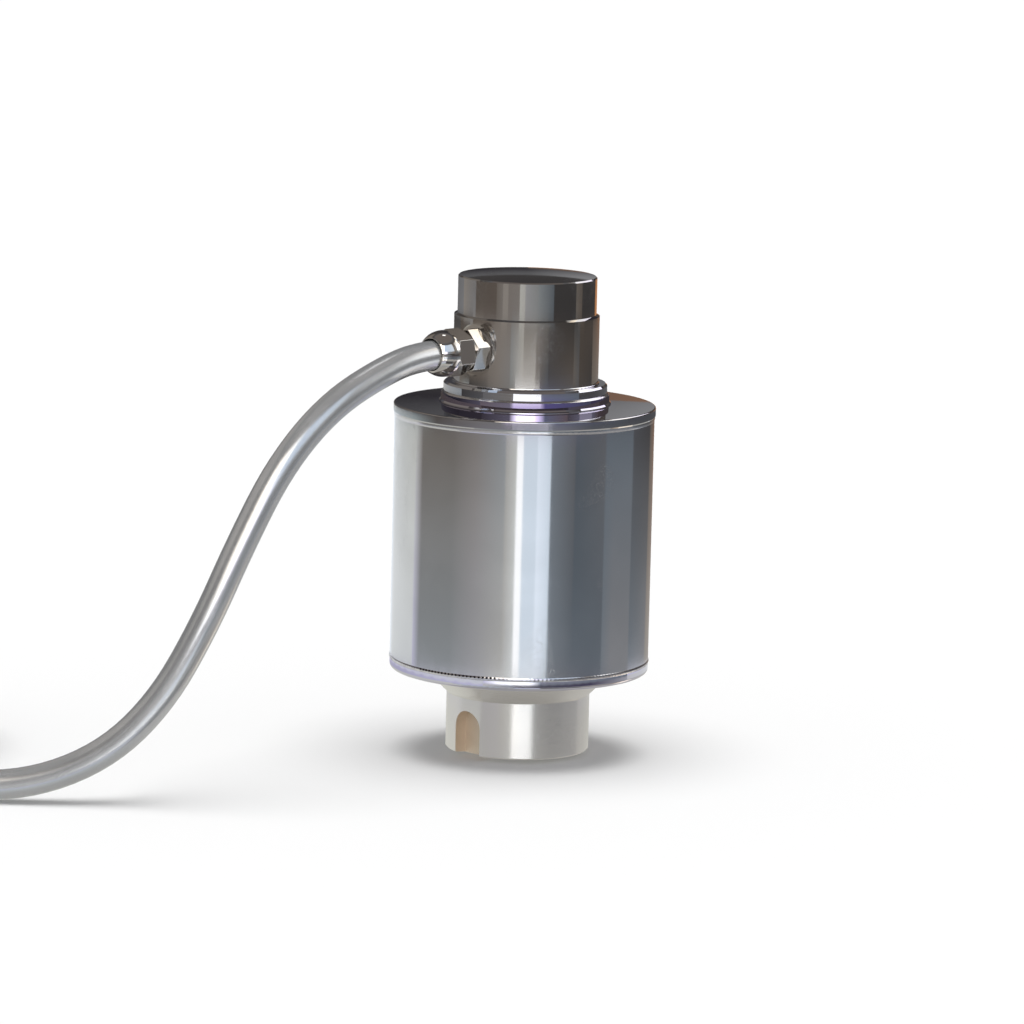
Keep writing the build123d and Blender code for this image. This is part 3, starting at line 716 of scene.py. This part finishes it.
# What the foot mirrors: the same table with a strip of light
card_ring("foot_card", (-0.102, -0.069), [
    wall(-180, -60, "chalk"),
    wall(-60, -25, "fog ash", "fog"),
    wall(-25, -9, "ash chalk", "ash"),
    wall(-9, 23, "white", "ash", gain=3.2),
    wall(23, 50, "chalk ash", "ash"),
    wall(50, 110, "ash fog", "fog tin"),
    wall(110, 180, "ash chalk", "fog ash"),
])

# What the lower cover's edge mirrors, and then the lower seam
card_ring("low_edge_card", (-0.069, -0.0594), [
    wall(-180, -30, "heather", "heather lilac"),
    wall(-30, -4, "ash slate", "chalk pewter"),
    wall(-4, 64, "plum", "graphite plum"),
    wall(64, 110, "plum tin"),
    wall(110, 180, "lilac silver", "chalk silver"),
])
card_ring("low_seam_card", (-0.0594, -0.0576), [
    wall(-180, -30, "lilac silver"),
    wall(-30, -14, "heather white", gain=2.0),
    wall(-14, 9, "white", gain=2.0),
    wall(9, 19, "white slate", "white pewter", gain=2.0),
    wall(19, 110, "pewter slate", "mauve pewter"),
    wall(110, 180, "lilac silver"),
])

# What the housing mirrors: a pale side, a warm wall, a window and a slate room
card_ring("housing_card", (-0.0576, 0.0386), [
    wall(-180, -150, "ice silver"),
    wall(-150, -107, "silver", "silver chalk"),
    wall(-107, -98, "lilac zinc", "chalk clay"),
    wall(-98, -62, "zinc", "taupe"),
    wall(-62, -40, "zinc tin", "taupe clay"),
    wall(-40, -15, "tin ash", "clay zinc"),
    wall(-15, -5.5, "ash silver", "fog chalk"),
    wall(-5.5, 0, "white"),
    wall(0, 12, "frost"),
    wall(12, 23.5, "ice frost"),
    wall(23.5, 45, "pewter slate", "pewter lead"),
    wall(45, 75, "slate", "steel lead"),
    wall(75, 86, "pewter nickel", "slate"),
    wall(86, 110, "nickel", "slate"),
    wall(110, 146, "pewter nickel", "graphite charcoal"),
    wall(146, 180, "stone fog", "brown rust"),
])

# What the rim mirrors, a little higher
card_ring("rim_card", (0.0386, 0.0424), [
    wall(-180, -110, "frost sea", "chalk zinc"),
    wall(-110, -80, "sea lead", "zinc brown"),
    wall(-80, -10, "lead mauve", "brown nickel"),
    wall(-10, 20, "heather", "tin"),
    wall(20, 60, "mauve lead", "pewter steel"),
    wall(60, 180, "lead graphite", "steel graphite"),
])

# What the hub and the collar mirror: a window between dark sides
card_ring("hub_card", (0.0424, 0.0462), [
    wall(-180, -100, "black"),
    wall(-100, -62, "soot lead"),
    wall(-62, -20, "clay nickel", "taupe nickel"),
    wall(-20, -14, "nickel orchid", "nickel white"),
    wall(-14, 20, "orchid lilac", "white petal"),
    wall(20, 27, "lilac violet", "petal violet"),
    wall(27, 100, "violet steel"),
    wall(100, 180, "plum steel"),
])
card_ring("collar_card", (0.0462, 0.05), [
    wall(-180, -99, "ash zinc"),
    wall(-99, -60, "charcoal graphite"),
    wall(-60, -16, "lead taupe"),
    wall(-16, 22, "white", gain=1.6),
    wall(22, 80, "violet slate", "pewter slate"),
    wall(80, 180, "charcoal lead"),
])

# What the neck mirrors: warm walls, a window and a dark side
card_ring("neck_card", (0.05, 0.0766), [
    wall(-180, -128, "taupe nickel", "charcoal"),
    wall(-128, -100, "taupe umber", "umber"),
    wall(-100, -76, "umber brown", "stone"),
    wall(-76, -45, "brown clay", "clay"),
    wall(-45, -24, "clay nickel", "clay"),
    wall(-24, -4, "zinc ash", "nickel fog"),
    wall(-4, 15, "ash", "taupe clay"),
    wall(15, 35, "taupe steel", "clay brown"),
    wall(35, 80, "graphite brown", "umber charcoal"),
    wall(80, 92, "taupe lead", "graphite"),
    wall(92, 128, "umber charcoal", "umber"),
    wall(128, 180, "taupe clay", "brown rust"),
])

# What the head mirrors: the same room higher up, greyer and darker
card_ring("head_card", (0.0766, 0.125), [
    wall(-180, -129, "lead nickel", "graphite lead"),
    wall(-129, -93, "stone nickel", "taupe"),
    wall(-93, -51, "brown", "umber brown"),
    wall(-51, -40, "taupe clay", "taupe"),
    wall(-40, -31, "stone", "clay"),
    wall(-31, -12, "clay", "taupe"),
    wall(-12, -3, "chalk ash", "fog"),
    wall(-3, 18, "tin zinc", "nickel taupe"),
    wall(18, 44, "zinc slate", "slate graphite"),
    wall(44, 87, "charcoal"),
    wall(87, 102, "taupe brown", "brown"),
    wall(102, 150, "charcoal"),
    wall(150, 180, "copper", "rust copper"),
])

# What the flat tops and the nut mirror: a dark far side, brown and slate on its right
card_ring("near_far_card", (0.125, 0.168), [
    wall(-180, -170, "charcoal soot", "soot"),
    wall(-170, -60, "umber taupe"),
    wall(-60, 60, "umber charcoal"),
    wall(60, 120, "lead brown"),
    wall(120, 172, "umber charcoal"),
    wall(172, 180, "rust umber"),
])
card_ring("far_card", (0.168, 0.26), [
    wall(-180, -100, "soot", "lead charcoal"),
    wall(-100, -60, "soot charcoal", "charcoal", gain=1.6),
    wall(-60, -20, "charcoal lead", gain=2.2),
    wall(-20, -9, "lead white", gain=3.3),
    wall(-9, 14, "white petal", gain=3.5),
    wall(14, 27, "petal slate", gain=3.0),
    wall(27, 60, "slate brown", gain=2.4),
    wall(60, 80, "lead", "brown zinc"),
    wall(80, 104, "lead", "silver"),
    wall(104, 120, "lead brown", "zinc brown"),
    wall(120, 172, "umber charcoal", "brown umber"),
    wall(172, 180, "nickel soot", "tin lead"),
])

# What the gland and the cable mirror above: windows in front and at the right
card_ring("high_card", (0.26, 0.66), [
    wall(-180, -150, "charcoal umber", "soot charcoal"),
    wall(-150, -60, "taupe stone", "taupe clay"),
    wall(-60, -26, "umber"),
    wall(-26, 12, "cream white", gain=2.4),
    wall(12, 60, "sky frost", gain=1.25),
    wall(60, 78, "brown fog", "brown taupe"),
    wall(78, 98, "white", "taupe ash", gain=2.0),
    wall(98, 112, "white cream", "sand cream", gain=2.2),
    wall(112, 148, "white petal", gain=1.7),
    wall(148, 170, "soot"),
    wall(170, 180, "charcoal", "soot"),
])
card_ring("sky_card", (0.66, 0.95), [
    wall(-180, 0, "charcoal umber", "lead"),
    wall(0, 180, "umber charcoal", "lead"),
])


def studio_world():
    """Even soft light, white behind the object, and dark to the metal where no card stands."""
    world = bpy.data.worlds.new("studio")
    world.use_nodes = True
    scene.world = world
    graph = Graph(world.node_tree)
    rays = graph.add("ShaderNodeLightPath")
    soft = graph.add("ShaderNodeBackground", {"Color": rgba(1.0, 1.0, 1.0), "Strength": 0.5})
    mirrored = graph.add("ShaderNodeBackground", {"Color": rgba(0.16, 0.14, 0.13), "Strength": 1.0})
    seen = graph.add("ShaderNodeBackground", {"Color": rgba(1.0, 1.0, 1.0), "Strength": 1.0})
    mixed = graph.add("ShaderNodeMixShader", {
        0: rays.outputs["Is Glossy Ray"], 1: soft.outputs[0], 2: mirrored.outputs[0],
    })
    mixed = graph.add("ShaderNodeMixShader", {
        0: rays.outputs["Is Camera Ray"], 1: mixed.outputs[0], 2: seen.outputs[0],
    })
    graph.add("ShaderNodeOutputWorld", {"Surface": mixed.outputs[0]})


def studio_floor(size):
    """Pale floor that fades into the white behind it and keeps the shadow."""
    mesh = bpy.data.meshes.new("floor")
    half = size / 2
    corners = [(-half, -half, 0), (half, -half, 0), (half, half, 0), (-half, half, 0)]
    mesh.from_pydata(corners, [], [(0, 1, 2, 3)])
    material, graph = new_material("floor_finish")
    rays = graph.add("ShaderNodeLightPath")
    paint = graph.add("ShaderNodeBsdfDiffuse", {"Color": rgba(0.80, 0.80, 0.80)})
    lift = graph.add("ShaderNodeEmission", {"Color": rgba(1, 1, 1), "Strength": 0.05})
    lit = graph.add("ShaderNodeAddShader", {0: paint.outputs[0], 1: lift.outputs[0]})
    mixed = graph.add("ShaderNodeMixShader", {
        0: rays.outputs["Is Camera Ray"], 1: paint.outputs[0], 2: lit.outputs[0],
    })
    graph.add("ShaderNodeOutputMaterial", {"Surface": mixed.outputs[0]})
    mesh.materials.append(material)
    floor = bpy.data.objects.new("floor", mesh)
    scene.collection.objects.link(floor)
    floor.visible_glossy = False


def overhead_sun(strength, spread):
    """Sun straight overhead, this many degrees wide, for a soft shadow right below the housing."""
    data = bpy.data.lights.new("overhead_sun", "SUN")
    data.energy = strength
    data.angle = radians(spread)
    lamp = bpy.data.objects.new("overhead_sun", data)
    scene.collection.objects.link(lamp)
    lamp.visible_glossy = False


studio_world()
studio_floor(size=24.0)
overhead_sun(strength=2.2, spread=46)

scene.view_settings.view_transform = "Standard"
